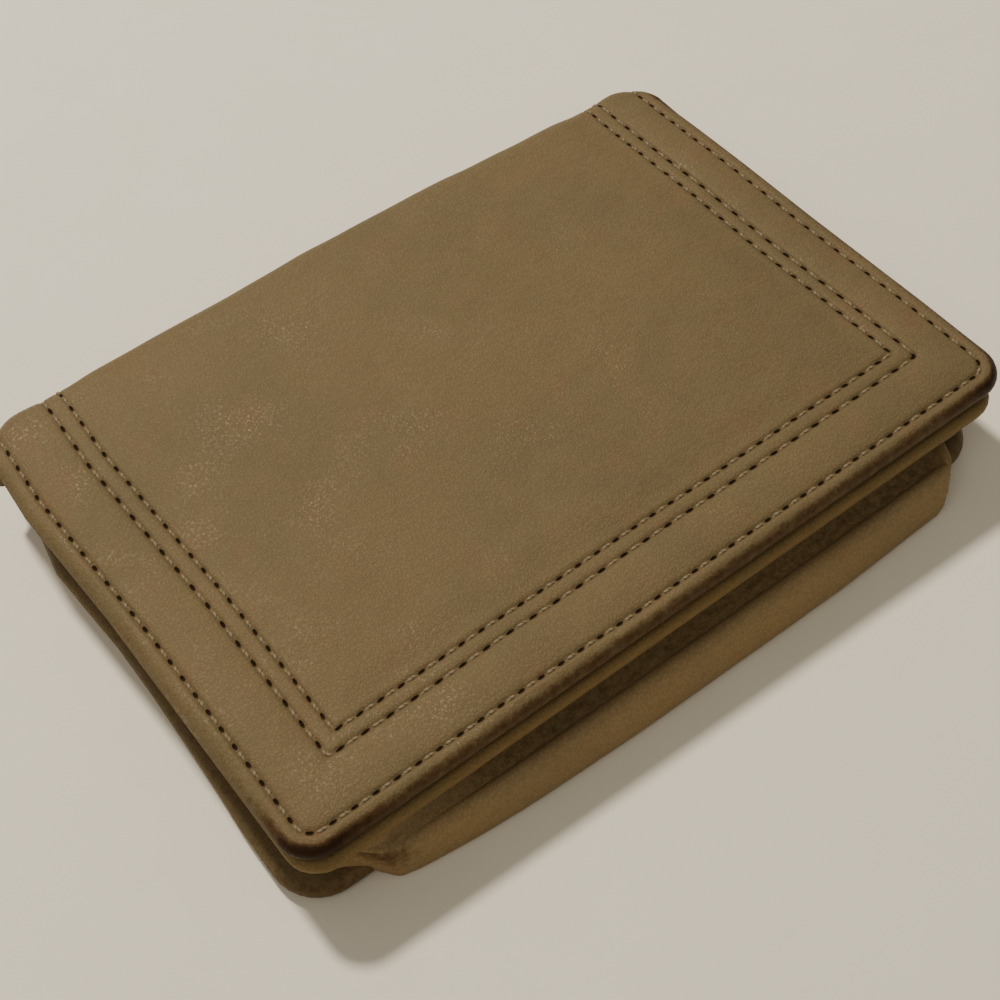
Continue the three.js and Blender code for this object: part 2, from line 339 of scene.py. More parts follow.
def cowhide(name, tan, cool, ruddy, burnt, pebble=0.5, rough=0.58, bump=0.00009):
    """Full-grain cowhide, drum dyed and lightly waxed: fine pebbles with creases between
    them, cool and ruddy clouds in the dye, and rubbed edges that go glossy and dark.
    Painted shade darkens the needle holes, the seam grooves, and the recesses that the wear
    attribute marks."""
    made = bpy.data.materials.new(name)
    made.use_nodes = True
    tree = made.node_tree
    tree.nodes.clear()
    hide = add(tree, "Attribute", (), out="Vector", attribute_name="hide")
    seam = add(tree, "Attribute", (), out="Vector", attribute_name="seam")
    wear = add(tree, "Attribute", (), out="Fac", attribute_name="wear")

    # Pebbles, about 0.5 mm across, bent a little so that they don't look like cells.
    drift = add(tree, "TexNoise", {"Vector": hide, "Scale": 1.1, "Detail": 2.0}, out="Color")
    bent = add(tree, "VectorMath", (drift, (0.7, 0.7, 0.0), hide), operation="MULTIPLY_ADD")
    cells = add(tree, "TexVoronoi", {"Vector": bent, "Scale": 1 / pebble}, out="Distance",
                feature="DISTANCE_TO_EDGE")
    pebbles = add(tree, "MapRange", (cells, 0.0, 0.25, 0.0, 1.0), **SOFT)
    fine = add(tree, "TexNoise", {"Vector": hide, "Scale": 3.2, "Detail": 4.0})
    slanted = add(tree, "Mapping", {"Vector": hide, "Rotation": (0, 0, 0.6),
                                    "Scale": (0.5, 1.7, 1.0)})
    wrinkles = add(tree, "TexNoise", {"Vector": slanted, "Scale": 1.0, "Detail": 3.0})
    grain = add(tree, "Math", (pebbles, 0.4, fine), operation="MULTIPLY_ADD")
    grain = add(tree, "Math", (wrinkles, 0.7, grain), operation="MULTIPLY_ADD")

    # Clouds in the dye, 30 mm and 6 mm across.
    clouds = add(tree, "TexNoise", {"Vector": hide, "Scale": 0.035, "Detail": 3.0,
                                    "Roughness": 0.6})
    patches = add(tree, "TexNoise", {"Vector": hide, "Scale": 0.17, "Detail": 5.0,
                                     "Roughness": 0.65})
    cloudy = add(tree, "MapRange", (clouds, 0.42, 0.62, 0.0, 1.0), **SOFT)
    colour = add(tree, "Mix", {0: cloudy, 6: linear(tan), 7: linear(cool)}, out=2,
                 data_type="RGBA")
    patchy = add(tree, "MapRange", (patches, 0.48, 0.72, 0.0, 0.6), **SOFT)
    colour = add(tree, "Mix", {0: patchy, 6: colour, 7: linear(ruddy)}, out=2, data_type="RGBA")
    marks = add(tree, "MapRange", (patches, 0.68, 0.8, 0.0, 0.3), **SOFT)
    colour = add(tree, "Mix", {0: marks, 6: colour, 7: linear("#5A331C")}, out=2,
                 data_type="RGBA")
    creased = add(tree, "MapRange", (grain, 1.15, 0.85, 0.0, 0.22), **SOFT)
    colour = add(tree, "Mix", {0: creased, 6: colour, 7: linear(burnt)}, out=2,
                 data_type="RGBA")

    # Wear, and the painted shade for recesses passed in the same attribute, come through in mottles, first
    # brown and then nearly black.
    scuffs = add(tree, "TexNoise", {"Vector": hide, "Scale": 0.9, "Detail": 6.0,
                                    "Roughness": 0.7})
    rubbed_and_shaded = add(tree, "Math", (scuffs, 0.75, wear), operation="MULTIPLY_ADD")
    half = add(tree, "MapRange", (rubbed_and_shaded, 0.52, 0.9, 0.0, 0.85), **SOFT)
    full = add(tree, "MapRange", (rubbed_and_shaded, 0.85, 1.2, 0.0, 1.0), **SOFT)
    colour = add(tree, "Mix", {0: half, 6: colour, 7: linear(burnt)}, out=2, data_type="RGBA")
    colour = add(tree, "Mix", {0: full, 6: colour, 7: linear("#210F06")}, out=2,
                 data_type="RGBA")

    # Needle holes: painted shade where the thread goes in, and painted shade along the groove.
    row = add(tree, "SeparateXYZ", (seam,)).node.outputs
    beside = add(tree, "Math", (row[1],), operation="ABSOLUTE")
    turned = add(tree, "Math", (row[0], 0.5), operation="PINGPONG")
    oval = add(tree, "CombineXYZ", (add(tree, "Math", (beside, 1 / 0.19), operation="MULTIPLY"),
                                    add(tree, "Math", (turned, 1 / 0.17), operation="MULTIPLY")))
    apart = add(tree, "VectorMath", (oval,), out="Value", operation="LENGTH")
    hole = add(tree, "MapRange", (apart, 1.2, 0.5, 0.0, 1.0), **SOFT)
    dip = add(tree, "MapRange", (beside, 0.6, 0.2, 0.0, 0.22), **SOFT)
    colour = add(tree, "Mix", {0: dip, 6: colour, 7: linear(burnt)}, out=2, data_type="RGBA")
    colour = add(tree, "Mix", {0: hole, 6: colour, 7: linear("#22130A")}, out=2,
                 data_type="RGBA")

    # Handling has polished it in places 10 mm across, where the pebbles catch the light.
    polish = add(tree, "TexNoise", {"Vector": hide, "Scale": 0.09, "Detail": 3.0})
    polish = add(tree, "MapRange", (polish, 0.46, 0.68, 0.0, 1.0), **SOFT)
    specks = add(tree, "TexNoise", {"Vector": hide, "Scale": 1.9, "Detail": 2.0})
    specks = add(tree, "MapRange", (specks, 0.48, 0.62, 0.0, 1.0), **SOFT)
    shine = add(tree, "Math", (polish, specks), operation="MULTIPLY")
    gloss = add(tree, "Math", (shine, -0.27, rough), operation="MULTIPLY_ADD")
    gloss = add(tree, "Math", (half, -0.12, gloss), operation="MULTIPLY_ADD")
    gloss = add(tree, "Math", (hole, 0.4, gloss), operation="MULTIPLY_ADD")
    bumped = add(tree, "Bump", {"Height": grain, "Strength": 0.6, "Distance": bump})
    sunk = add(tree, "Bump", {"Height": hole, "Strength": 1.0, "Distance": 0.0003,
                              "Normal": bumped}, invert=True)
    shader = add(tree, "BsdfPrincipled", {
        "Base Color": colour, "Roughness": gloss, "Normal": sunk,
        "IOR": 1.5, "Specular IOR Level": 0.18, "Specular Tint": linear("#FFDDB0")})
    tree.links.new(shader, tree.nodes.new("ShaderNodeOutputMaterial").inputs[0])
    return made


def finish_piece(made, material, slot, *nodes, body=None, bend=None):
    """Gives a piece its material; parents it to its body, or when a bend is given only bakes its transform;
    and hides the nodes it replaces.
    """
    made.data.materials.clear()
    made.data.materials.append(material)
    if bend:
        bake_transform(made)
    else:
        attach(made, body)
    if nodes:
        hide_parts(*nodes)


COVER_HIDE = cowhide("cowhide_tan", "#645437", "#5F5135", "#695136", "#3C2410")
finish_piece(back_cover, COVER_HIDE, "cover_leather", "back_leather", "lower_fold_leather",
             bend=BACK_BEND)

# --- Flap and upper half of the spine -------------------------------------------------
# The same skin, turned in over its stiffener. Three rows of seam are sewn through it:
# one 2.5 mm inside the edge and a pair that frames the middle and runs over the spine.

FLAP_BEND = {"a": "spine", "b": "flap", "start": (0, 0.0404, 0.011),
             "end": (-0.0002, 0.036, 0.0154)}
FRAME_STITCH = 3.4  # the frame's outer row is sewn with a longer stitch
ROWS = {"edge": (2.3, STITCH), "outer": (9.3, FRAME_STITCH), "inner": (11.6, STITCH)}
OUTER = span("frame_outer_thread")
INNER = span("frame_inner_thread")
FIELD = 12.6
SNAP = (span("snap_cap")[0] + span("snap_cap")[1])[:2] / 2


def flap_relief(x, y, inset, seam):
    """Crowned between its seams, pulled in at each needle hole, and never quite flat."""
    flat = np.stack([x, y], axis=1)
    groove = 0.22 * np.exp(-((seam[:, 1] / 0.42) ** 2)) * (1 - 0.6 * ease(y, SPINE - 14, SPINE))
    pulled = ease(np.abs((seam[:, 0] + 0.5) % 1 - 0.5), 0.24, 0.1)
    holes = 0.18 * pulled * np.exp(-((seam[:, 1] / 0.24) ** 2))
    band = 0.3 * np.sin(np.pi * np.clip((inset - 2.4) / 6.9, 0, 1))
    field = 0.3 * ease(inset, 11.8, 17)
    snap = 0.07 * ease(np.hypot(x - SNAP[0], y - SNAP[1]), 7.2, 5.6)
    uneven = 0.10 * waves(flat, 24, 11) + 0.035 * waves(flat, 7, 12)
    return band + field + snap + uneven - groove - holes


def flap_wear(x, y, inset, depth):
    """Handling darkens the rolled edge: least on the left, most at the corners."""
    left = np.exp(-((x + SIDE) ** 2 + (y - EDGE) ** 2) / 70)
    right = np.exp(-((x - SIDE) ** 2 + (y - EDGE) ** 2) / 60)
    far = np.exp(-((x - SIDE) ** 2 + (y - SPINE) ** 2) / 60)
    front = ease(y, EDGE + 6, EDGE + 1)
    along = 0.12 + 0.24 * front + 0.6 * left + 0.5 * right + 0.45 * far
    side = 0.3 * ease(x, SIDE - 4, SIDE)
    return (along + side) * ease(inset, 1.5, 0.4) + 0.05 * ease(inset, 9, 3)


flap = Cover(
    insets=[(0, 0, 0, 0), (2.3, 2.5, 2.5, 2.3),
            (9.3, OUTER[0][0] + SIDE + 0.35, SIDE - OUTER[1][0] + 0.35, 9.3),
            (11.6, INNER[0][0] + SIDE + 0.35, SIDE - INNER[1][0] + 0.35, 11.6),
            (FIELD, 13.4, 11.0, FIELD)],
    bounds=(-SIDE, SIDE, EDGE, CUT_END),
    radii=[(0, 4.6), (2.3, 2.2), (5, 0.7), (FIELD, 0.4)],
    legs=190, front=240,
    rings=[FIELD, 12.3, 12.1, 11.95, 11.8, 11.6, 11.4, 11.25, 11.1, 10.9, 10.5, 10.1, 9.8,
           9.65, 9.5, 9.3, 9.1, 8.95, 8.8, 8.5, 8, 7.3, 6.5, 5.7, 4.9, 4.2, 3.5, 3.1, 2.85,
           2.65, 2.48, 2.3, 2.12, 1.95, 1.8, 1.65],
    inner=[(4, 2.75), (8, 2.75), (8, 2.45), (1.7, 2.45), (1.7, 1.6), (8, 1.6)],
    thick=2.75, underside=False,
    creep=((-20, 0, 0.3), (0, 0, 0), (14, -0.5, 0), (26, -0.9, -0.2), (36, -0.4, -0.4)),
)
flap_cover = flap.build("flap_cover", flap_relief, ROWS.values(), flap_wear)
finish_piece(flap_cover, COVER_HIDE, "cover_leather", "flap_leather", "upper_fold_leather",
             "spine_leather", bend=FLAP_BEND)

# --- Seams of the cover ---------------------------------------------------------------
# Waxed three-ply polyester thread, 0.5 mm thick, lockstitched. Each stitch lies in the
# groove that it pulls into the leather and dives into a needle hole at both ends.


def sewn(name, surface, count, radius=0.24, lift=0.03):
    """One row of stitches. surface(turns, depth) gives points in millimetres."""
    rings, sides = 9, 8
    points, faces, ply = [], [], []
    share = np.linspace(-1, 1, rings)
    dive = 0.7 * np.abs(share) ** 3 - lift
    thick = radius * (1 - 0.4 * np.abs(share) ** 3)
    for k in range(count):
        turns = k + 0.5 + 0.36 * share
        line = surface(turns, dive)
        ahead = np.gradient(line, axis=0)
        up = surface(turns, dive - 0.1) - line
        ahead /= np.linalg.norm(ahead, axis=1)[:, None]
        up /= np.linalg.norm(up, axis=1)[:, None]
        beside = np.cross(ahead, up)
        first = len(points)
        for i in range(rings):
            for s in range(sides):
                a = 2 * math.pi * s / sides
                points.append(line[i] + thick[i] * (math.cos(a) * beside[i]
                                                    + 0.8 * math.sin(a) * up[i]))
                ply.append((turns[i] * STITCH, s / sides, 0))
        faces += strips(first, rings, sides, closed=True)
        faces.append(list(range(first, first + sides)))
        faces.append(list(range(first + (rings - 1) * sides, first + rings * sides)))
    return piece(name, np.array(points), faces, ply=np.array(ply))


def on_cover(cover, inset, pitch, relief):
    """The surface along one row of a cover half, and how many stitches it takes."""
    line = cover.line(inset)
    length = distances(line)

    def surface(turns, depth):
        at = np.asarray(turns) * pitch
        x, along = np.interp(at, length, line[:, 0]), np.interp(at, length, line[:, 1])
        seam = np.zeros((len(x), 3)) + [0.5, 0, 0]
        raised = relief(x, along, np.full(len(x), inset), seam)
        return cover.place(x, along, depth - raised)

    return surface, int(length[-1] / pitch)


def waxed_thread(name, pale, dark):
    """Spun polyester under wax: pale, a little shiny, with three plies twisted round it."""
    made = bpy.data.materials.new(name)
    made.use_nodes = True
    tree = made.node_tree
    tree.nodes.clear()
    ply = add(tree, "Attribute", (), out="Vector", attribute_name="ply")
    parts = add(tree, "SeparateXYZ", (ply,)).node.outputs
    # Three plies wind once round in 2.2 mm, so one shows every 0.75 mm.
    turned = add(tree, "Math", (parts[0], 1 / 0.75, parts[1]), operation="MULTIPLY_ADD")
    strand = add(tree, "Math", (turned, 0.5), operation="PINGPONG")
    groove = add(tree, "MapRange", (strand, 0.02, 0.25, 0.0, 1.0), **SOFT)
    colour = add(tree, "Mix", {0: groove, 6: linear(dark), 7: linear(pale)}, out=2,
                 data_type="RGBA")
    bumped = add(tree, "Bump", {"Height": groove, "Strength": 0.5, "Distance": 0.00008})
    shader = add(tree, "BsdfPrincipled", {"Base Color": colour, "Normal": bumped,
                                          "Roughness": 0.6, "IOR": 1.5,
                                          "Specular IOR Level": 0.3})
    tree.links.new(shader, tree.nodes.new("ShaderNodeOutputMaterial").inputs[0])
    return made


SEWING = waxed_thread("waxed_thread_cream", "#756342", "#55442C")
for row, node in (("edge", "flap_edge_thread"), ("outer", "frame_outer_thread"),
                  ("inner", "frame_inner_thread")):
    surface, count = on_cover(flap, *ROWS[row], flap_relief)
    stitches = sewn("flap_stitches_" + row, surface, count)
    finish_piece(stitches, SEWING, "waxed_thread", node, bend=FLAP_BEND)

surface, count = on_cover(back, SEAM_INSET, STITCH, back_relief)
back_stitches = sewn("back_stitches", surface, count, radius=0.24, lift=-0.12)
finish_piece(back_stitches, SEWING, "waxed_thread", "back_seam_thread", bend=BACK_BEND)

# --- Linings of the cover -------------------------------------------------------------
# Thin sheep leather, 0.6 mm, glued inside the cover and round both folds. The flap's is
# caught in the edge seam; the back's starts inside its seam, where the gusset is sewn.
# It is smoother and duller than the cover.

LINING_HIDE = cowhide("sheepskin_lining", "#5C4A32", "#574832", "#5E4730", "#2E1D0F",
                      pebble=0.35, rough=0.7, bump=0.00005)


def lining_relief(x, y, inset, seam):
    groove = 0.12 * np.exp(-((seam[:, 1] / 0.4) ** 2))
    return 0.03 * waves(np.stack([x, y], axis=1), 15, 31) - 0.05 - groove


def lining_wear(x, y, inset, depth):
    return 0.25 * ease(inset, 1.5, 0.2)


def cover_lining(name, cover, base, row_inset, edge):
    """A lining inside one half of the cover, its edge `edge` inside the cover's."""
    x0, x1, y0, y1 = cover.bounds
    made = Cover(
        insets=[(0, 0, 0, 0), (50, 50, 50, 50)],
        bounds=(x0 + edge, x1 - edge, y0 + edge, y1),
        radii=[(0, 3.4), (2.5, 1.2), (6, 0.6), (50, 0.6)],
        legs=100, front=110,
        rings=[6, 4, 2.6, 2.1, 1.8, 1.6, 1.4, 1.2, 1.05, 0.9, 0.75, 0.55],
        inner=[(3, 0.6)],
        thick=0.6, underside=cover.underside, base=base, creep=cover.creep,
    )
    return made, made.build(name, lining_relief, [(row_inset, STITCH)], lining_wear)


_, back_lining = cover_lining("back_lining_sheet", back, base=2.4, row_inset=9.0, edge=4.25)
finish_piece(back_lining, LINING_HIDE, "lining_leather", "back_lining", bend=BACK_BEND)

flap_inner, flap_lining = cover_lining("flap_lining_sheet", flap, base=2.75, row_inset=1.1,
                                       edge=1.3)


def bore(made, radius):
    """A round hole through a flat piece where the snap passes."""
    bpy.ops.mesh.primitive_cylinder_add(vertices=48, radius=radius * MM, depth=0.03,
                                        location=(SNAP[0] * MM, SNAP[1] * MM, 0.012))
    drill = bpy.context.object
    cut = made.modifiers.new("bore", "BOOLEAN")
    cut.object = drill
    cut.solver = "EXACT"
    cut_mesh = bpy.data.meshes.new_from_object(made.evaluated_get(
        bpy.context.evaluated_depsgraph_get()))
    made.modifiers.clear()
    made.data = cut_mesh
    bpy.data.objects.remove(drill)


bore(flap_lining, 2.9)
finish_piece(flap_lining, LINING_HIDE, "lining_leather", "flap_lining", "spine_lining",
             bend=FLAP_BEND)

surface, count = on_cover(flap_inner, 1.1, STITCH, lining_relief)
under_stitches = sewn("flap_stitches_under", surface, count, radius=0.2, lift=-0.05)
finish_piece(under_stitches, SEWING, "waxed_thread", bend=FLAP_BEND)

# --- Stiffeners -----------------------------------------------------------------------
# Grey-brown bonded fibre board, under 1 mm thick, die cut and laid inside the leather's
# turned-in edges. It is what keeps the panels flat.


class Outline:
    """A rectangle with rounded corners as one closed line, `inset` in from its edge."""

    def __init__(self, x0, x1, y0, y1, radius, far_radius, sides=110, ends=150, shift=0.0):
        self.box, self.radius, self.far_radius = (x0, x1, y0, y1), radius, far_radius
        self.counts, self.shift = (sides, 6, ends), shift

    def __call__(self, inset):
        sides, turn, ends = self.counts
        x0, x1, y0, y1 = np.array(self.box) + [inset, -inset, inset, -inset]
        near, far = max(self.radius - inset, 0.4), max(self.far_radius - inset, 0.4)
        corners = []
        for cx, cy, r, k in ((x0 + near, y0 + near, near, 2), (x1 - near, y0 + near, near, 3),
                             (x1 - far, y1 - far, far, 0), (x0 + far, y1 - far, far, 1)):
            a = (k + np.linspace(0, 1, turn + 1)) * math.pi / 2
            corners.append(np.stack([cx + r * np.cos(a), cy + r * np.sin(a)], axis=1))
        line = []
        for k, count in enumerate((ends, sides, ends, sides)):
            here, there = corners[k], corners[(k + 1) % 4]
            line += [here, np.linspace(here[-1], there[0], count + 1)[1:-1]]
        line = np.concatenate(line)
        line[:, 0] += self.shift * np.clip((SPINE - line[:, 1]) / (SPINE - EDGE), 0, 1)
        return line


def fill(first, width, counts):
    """Long quads across the middle of a closed outline, and its two ends."""
    sides, turn, ends = counts
    near = [first + turn + k for k in range(ends + 1)]
    far_end = first + 3 * (turn + 1) + (ends - 1) + (sides - 1) - 1 + ends
    far = [far_end - k for k in range(ends + 1)]
    faces = [[near[k], near[k + 1], far[k + 1], far[k]] for k in range(ends)]
    right = list(range(near[-1], far[-1] + 1))
    left = list(range(far[0], first + width)) + list(range(first, near[0] + 1))
    return faces + [right, left]


def plate(name, outline, rings, top, relief=None, wear=None, rows=(), flip=False):
    """A closed panel from rings of (inset, depth) round an outline, both middles filled."""
    lines = [outline(f) for f, _ in rings]
    width = len(lines[0])
    flat = np.concatenate(lines)
    inset = np.repeat([f for f, _ in rings], width)
    depth = np.repeat([d for _, d in rings], width)
    counts = [(f, distances(outline(f)) / pitch) for f, pitch in rows]
    seam = seam_facts(inset, depth, counts, len(rings))
    raised = 0 * inset
    if relief:
        raised = relief(flat[:, 0], flat[:, 1], inset, seam)
        raised = raised * ease(inset, 0.1, 1.2) * (depth < 1e-6)
    points = settle(np.column_stack([flat, top + (depth - raised) * (1 if flip else -1)]))
    faces = strips(0, len(rings), width, closed=True)
    faces += fill(0, width, outline.counts)
    faces += fill((len(rings) - 1) * width, width, outline.counts)
    worn = wear(flat[:, 0], flat[:, 1], inset, depth) if wear else 0 * inset
    return piece(name, points, faces, hide=np.column_stack([flat, depth]), seam=seam,
                 inset=inset, wear=worn)


def fibre_board(name):
    """Bonded leather board: grey-brown, matt, with short pressed fibres."""
    made = bpy.data.materials.new(name)
    made.use_nodes = True
    tree = made.node_tree
    tree.nodes.clear()
    hide = add(tree, "Attribute", (), out="Vector", attribute_name="hide")
    fibres = add(tree, "TexNoise", {"Vector": hide, "Scale": 1.6, "Detail": 5.0})
    colour = add(tree, "Mix", {0: fibres, 6: linear("#6B5A45"), 7: linear("#8A7A62")}, out=2,
                 data_type="RGBA")
    bumped = add(tree, "Bump", {"Height": fibres, "Strength": 0.4, "Distance": 0.0001})
    shader = add(tree, "BsdfPrincipled", {"Base Color": colour, "Normal": bumped,
                                          "Roughness": 0.85, "IOR": 1.5})
    tree.links.new(shader, tree.nodes.new("ShaderNodeOutputMaterial").inputs[0])
    return made


BOARD = fibre_board("bonded_leather_board")


def board(name, node, body, top, thick, inset=1.85, far=30.5, shift=0.0):
    outline = Outline(-SIDE + inset, SIDE - inset, EDGE + inset + 0.3, far, 3, 1, 20, 20, shift)
    made = plate(name, outline, [(0.0, 0.0), (0.0, thick)], top)
    finish_piece(made, BOARD, "stiffener_board", node, body=body)


board("back_stiffener", "back_board", "back", 2.13, 0.5, shift=-1.3)
board("flap_stiffener", "flap_board", "flap", LEVEL - 1.63, 0.78)

# --- Front wall of the pouch ----------------------------------------------------------
# A softer tan hide over a thin board, with a turned, rolled edge that shows under the
# flap along the front. Its mouth faces the spine, and it lifts there when opened.

WALL_TOP = span("front_wall_leather")[1][2]
MOUTH = span("front_wall_leather")[1][1]
WALL = Outline(-SIDE + 0.2, SIDE - 0.9, EDGE - 0.3, MOUTH, 4.2, 1.2)
WALL_HIDE = cowhide("cowhide_olive_tan", "#755F39", "#6F5C38", "#745A35", "#3A2410")


def wall_relief(x, y, inset, seam):
    groove = 0.18 * np.exp(-((seam[:, 1] / 0.42) ** 2))
    return 0.04 * waves(np.stack([x, y], axis=1), 20, 41) - groove - 0.05


def wall_wear(x, y, inset, depth):
    """The rolled edge under the flap is darkest at its two front corners."""
    corner = np.exp(-((SIDE - np.abs(x)) ** 2 + (y - EDGE) ** 2) / 50)
    return (0.05 + 0.15 * corner) * ease(inset, 2.0, 0.6)


face_rings = [(f, 0.0) for f in (12, 8, 6, 5, 4, 3.3, 2.95, 2.7, 2.5, 2.3, 2.05, 1.7, 1.3)]
wall_rings = face_rings + rolled_edge(2.5, 1.2)
wall_rings += [(1.9, 2.5), (1.9, 2.0), (8, 2.0), (8, 1.8), (1.5, 1.8), (1.5, 1.2), (8, 1.2)]
wall_panel = plate("front_wall_panel", WALL, wall_rings, WALL_TOP, wall_relief, wall_wear,
                   [(SEAM_INSET, STITCH)])
finish_piece(wall_panel, WALL_HIDE, "wall_leather", "front_wall_leather", body="front_wall")

wall_board = plate("front_wall_stiffener", WALL, [(1.6, 1.23), (1.6, 1.75)], WALL_TOP)
finish_piece(wall_board, BOARD, "stiffener_board", "front_wall_board", body="front_wall")

inner_rings = [(f, 0.0) for f in (12, 8, 5, 4, 3.3, 2.9, 2.6, 2.4)]
inner_rings += [(2.0 + f, d) for f, d in rolled_edge(0.6, 0.35, 4)] + [(4, 0.6)]
wall_lining = plate("front_wall_lining_sheet", WALL, inner_rings, WALL_TOP - 2.6,
                    lining_relief, lining_wear, flip=True)
finish_piece(wall_lining, LINING_HIDE, "lining_leather", "front_wall_lining",
             body="front_wall")


def on_plate(outline, inset, top, part):
    """The surface along a stretch of a panel's seam: part is (first, last) of its length."""
    line = outline(inset)
    line = np.vstack([line, line[:1]])
    length = distances(line)
    begin = STITCH * math.ceil(length[-1] * part[0] / STITCH)  # so it starts in a hole
    end = length[-1] * part[1]

    def surface(turns, depth):
        at = begin + np.asarray(turns) * STITCH
        x, y = np.interp(at, length, line[:, 0]), np.interp(at, length, line[:, 1])
        return settle(np.column_stack([x, y, top - depth]))

    return surface, int((end - begin) / STITCH)


whole = distances(WALL(SEAM_INSET))
right_end = whole[WALL.counts[1] * 2 + WALL.counts[2] + WALL.counts[0]] / whole[-1]
left_end = whole[WALL.counts[1] * 3 + WALL.counts[2] * 2 + WALL.counts[0]] / whole[-1]
break_in_row = 0.004  # share of the seam's length left between one run and the next
for name, part, nodes in (
        ("front_wall_stitches", (0, right_end - break_in_row), ["front_wall_thread"]),
        ("mouth_hem_stitches", (right_end + break_in_row, left_end), ["mouth_hem_thread"]),
        ("front_wall_stitches_left", (left_end + break_in_row, 1), [])):
    surface, count = on_plate(WALL, SEAM_INSET, WALL_TOP - 0.25, part)
    stitches = sewn(name, surface, count, radius=0.24, lift=-0.02)
    finish_piece(stitches, SEWING, "waxed_thread", *nodes, body="front_wall")

# --- Gusset ---------------------------------------------------------------------------
# One strip of soft, thin chrome-tanned leather sewn round three sides between the back
# and the front wall. It folds inwards along both sides and slumps outwards along the
# front, where it rests on the table as a soft roll with creases under the wall's edge.
# The left side is pinched, with a fold only about 2 mm deep.

GUSSET = 0.7  # thickness
WALL_LOW = WALL_TOP - 2.6


def smooth_line(knots, count):
    """A Catmull-Rom curve through knots that are (n, 2) or (m, n, 2)."""
    knots = np.asarray(knots, float)
    padded = np.concatenate([2 * knots[..., :1, :] - knots[..., 1:2, :], knots,
                             2 * knots[..., -1:, :] - knots[..., -2:-1, :]], axis=-2)
    at = np.linspace(0, knots.shape[-2] - 1 - 1e-9, count)
    i = at.astype(int)
    t = (at - i)[:, None]
    a, b, c, d = (padded[..., i + k, :] for k in range(4))
    return 0.5 * (2 * b + (c - a) * t + (2 * a - 5 * b + 4 * c - d) * t ** 2
                  + (3 * b - a - 3 * c + d) * t ** 3)


